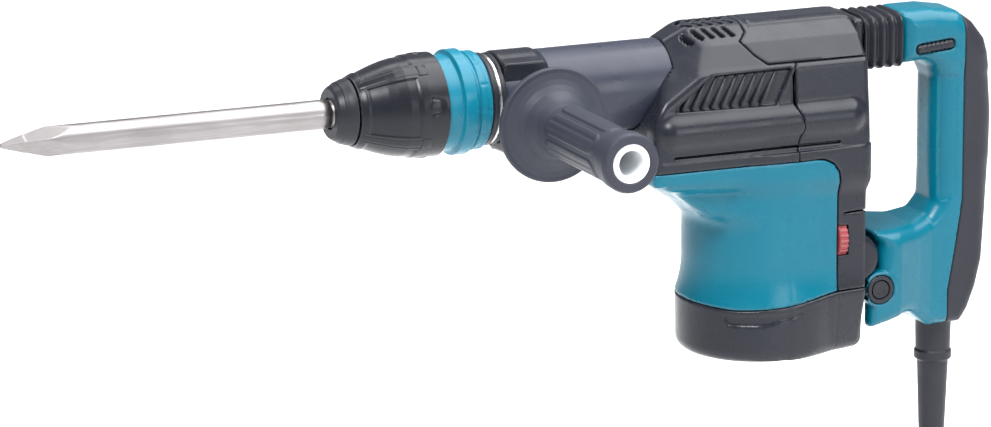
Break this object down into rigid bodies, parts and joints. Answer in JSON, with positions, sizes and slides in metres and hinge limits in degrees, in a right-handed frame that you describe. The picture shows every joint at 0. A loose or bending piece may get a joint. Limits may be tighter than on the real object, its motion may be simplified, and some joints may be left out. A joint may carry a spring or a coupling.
{
  "type": "demolition hammer",
  "caption": "Electric demolition hammer with a straight point chisel, an upright motor below the crank, a clamped side grip and a sprung rear D-handle with a tied mains lead.",
  "frame": {"origin": "on the striking axis, at the palm face of the rear grip, in the tool's middle plane", "axes": "+X runs back along the striking axis, so the chisel points along -X; -Y is the side that the side grip stands out to; +Z is away from the motor"},
  "size_m": [0.659, 0.225, 0.5635],
  "materials": {
    "teal_plastic": "moulded glass-filled plastic, satin",
    "dark_plastic": "moulded plastic, fine texture",
    "dark_rubber": "soft overmould, matte",
    "black_rubber": "moulded rubber",
    "grip_rubber": "soft ribbed grip, matte",
    "barrel_coating": "satin powder coat over aluminium",
    "chuck_plastic": "hard plastic, semi-gloss",
    "change_teal": "moulded plastic, satin",
    "forged_steel": "ground and brushed tool steel",
    "bright_steel": "machined steel",
    "cast_alloy": "cast, bead blasted",
    "spring_steel": "drawn wire",
    "laminations": "stamped laminations",
    "copper": "enamelled winding wire",
    "carbon": "pressed carbon",
    "dial_red": "moulded plastic, ribbed",
    "core_white": "moulded plastic, white",
    "grey_plastic": "moulded plastic",
    "cord_rubber": "rubber sheathed lead"
  },
  "bodies": {
    "housing": {"neck_seal_rings": "black_rubber", "neck_steel_ring": "bright_steel", "barrel_housing": "barrel_coating", "cylinder_liner": "cast_alloy", "absorber_springs": "spring_steel", "gear_case": "cast_alloy", "crank_bearings": "bright_steel", "armature_bearings": "bright_steel", "field_stator": "laminations", "field_coils": "copper", "brush_holders": "grey_plastic", "carbon_brushes": "carbon", "speed_control_unit": "grey_plastic", "main_cover": "dark_plastic", "top_cover": "dark_plastic", "rear_cover": "dark_plastic", "motor_housing": "teal_plastic", "motor_end_cover": "dark_plastic", "housing_screws": "bright_steel", "handle_boot": "black_rubber", "handle_spring": "spring_steel", "pivot_bolts": "bright_steel"},
    "rear_handle": {"handle_frame": "teal_plastic", "handle_back_cover": "dark_rubber", "pivot_bushes": "grey_plastic", "switch_unit": "grey_plastic", "handle_screws": "bright_steel", "cord_clamp": "grey_plastic", "cord_guard": "dark_rubber", "cord": "cord_rubber", "cord_coil": "cord_rubber", "cord_tie": "grey_plastic", "plug_body": "black_rubber", "plug_pins": "bright_steel"},
    "switch_lever": {"switch_lever": "dark_plastic"},
    "tool_holder": {"tool_sleeve": "bright_steel", "locking_rollers": "bright_steel", "dust_cap": "black_rubber", "release_spring": "spring_steel", "ring_spring": "spring_steel"},
    "release_cover": {"release_cover": "chuck_plastic"},
    "change_ring": {"change_ring": "change_teal"},
    "chisel": {"chisel": "forged_steel"},
    "impact_bolt": {"impact_bolt": "bright_steel"},
    "striker": {"striker": "bright_steel"},
    "piston": {"piston": "cast_alloy", "piston_pin": "bright_steel"},
    "connecting_rod": {"connecting_rod": "bright_steel"},
    "absorber_weight": {"absorber_weight": "bright_steel"},
    "crank": {"crank_gear": "bright_steel", "crank_shaft": "bright_steel"},
    "armature": {"armature_shaft": "bright_steel", "armature_core": "laminations", "commutator": "copper", "fan": "grey_plastic"},
    "side_handle": {"clamp_collar": "dark_plastic", "clamp_bolt": "bright_steel"},
    "side_grip": {"side_grip_core": "core_white", "side_grip_rubber": "grip_rubber"},
    "speed_dial": {"speed_dial": "dial_red"}
  },
  "joints": [
    {"name": "handle_rock", "type": "hinge", "parent": "housing", "child": "rear_handle", "pos_m": [-0.091, 0, -0.139], "axis": [0, 1, 0], "range_deg": [-2.5, 0], "stiffness_Nm_per_rad": 60, "springref_deg": 6.88, "deforming": ["handle_boot", "handle_spring"]},
    {"name": "switch_slide", "type": "slide", "parent": "rear_handle", "child": "switch_lever", "axis": [0, 1, 0], "range_m": [-0.003, 0.003]},
    {"name": "holder_turn", "type": "hinge", "parent": "housing", "child": "tool_holder", "pos_m": [-0.449, 0, 0], "axis": [1, 0, 0], "continuous": true},
    {"name": "release_slide", "type": "slide", "parent": "tool_holder", "child": "release_cover", "axis": [1, 0, 0], "range_m": [0, 0.006], "stiffness_N_per_m": 2500, "springref_m": -0.004, "deforming": ["release_spring"]},
    {"name": "change_ring_slide", "type": "slide", "parent": "tool_holder", "child": "change_ring", "axis": [-1, 0, 0], "range_m": [0, 0.003], "stiffness_N_per_m": 2000, "springref_m": -0.004, "deforming": ["ring_spring"]},
    {"name": "chisel_slide", "type": "slide", "parent": "tool_holder", "child": "chisel", "axis": [-1, 0, 0], "range_m": [0, 0.018]},
    {"name": "impact_bolt_slide", "type": "slide", "parent": "housing", "child": "impact_bolt", "axis": [-1, 0, 0], "range_m": [0, 0.0056]},
    {"name": "striker_slide", "type": "slide", "parent": "housing", "child": "striker", "axis": [1, 0, 0], "range_m": [-0.0015, 0.007]},
    {"name": "piston_slide", "type": "slide", "parent": "housing", "child": "piston", "axis": [1, 0, 0], "range_m": [0, 0.028]},
    {"name": "rod_swing", "type": "hinge", "parent": "piston", "child": "connecting_rod", "pos_m": [-0.25865, 0, 0], "axis": [0, 0, 1], "range_deg": [-17.5, 17.5]},
    {"name": "absorber_slide", "type": "slide", "parent": "housing", "child": "absorber_weight", "axis": [1, 0, 0], "range_m": [-0.01, 0.01], "stiffness_N_per_m": 9000, "deforming": ["absorber_springs"]},
    {"name": "armature_spin", "type": "hinge", "parent": "housing", "child": "armature", "pos_m": [-0.161, 0, 0], "axis": [0, 0, 1], "continuous": true},
    {"name": "crank_spin", "type": "hinge", "parent": "housing", "child": "crank", "pos_m": [-0.19865, 0, 0], "axis": [0, 0, 1], "continuous": true},
    {"name": "side_handle_turn", "type": "hinge", "parent": "housing", "child": "side_handle", "pos_m": [-0.328, 0, 0], "axis": [1, 0, 0], "continuous": true},
    {"name": "grip_screw", "type": "hinge", "parent": "side_handle", "child": "side_grip", "pos_m": [-0.328, 0, -0.005], "axis": [0, -1, 0], "range_deg": [0, 360]},
    {"name": "dial_turn", "type": "hinge", "parent": "housing", "child": "speed_dial", "pos_m": [-0.1213, -0.0314, -0.1025], "axis": [1, 0, 0], "range_deg": [-120, 120]}
  ],
  "couplings": [
    {"joint": "crank_spin", "follows": "armature_spin", "ratio": -0.17647},
    {"joint": "impact_bolt_slide", "follows": "chisel_slide", "ratio": 0.3}
  ]
}
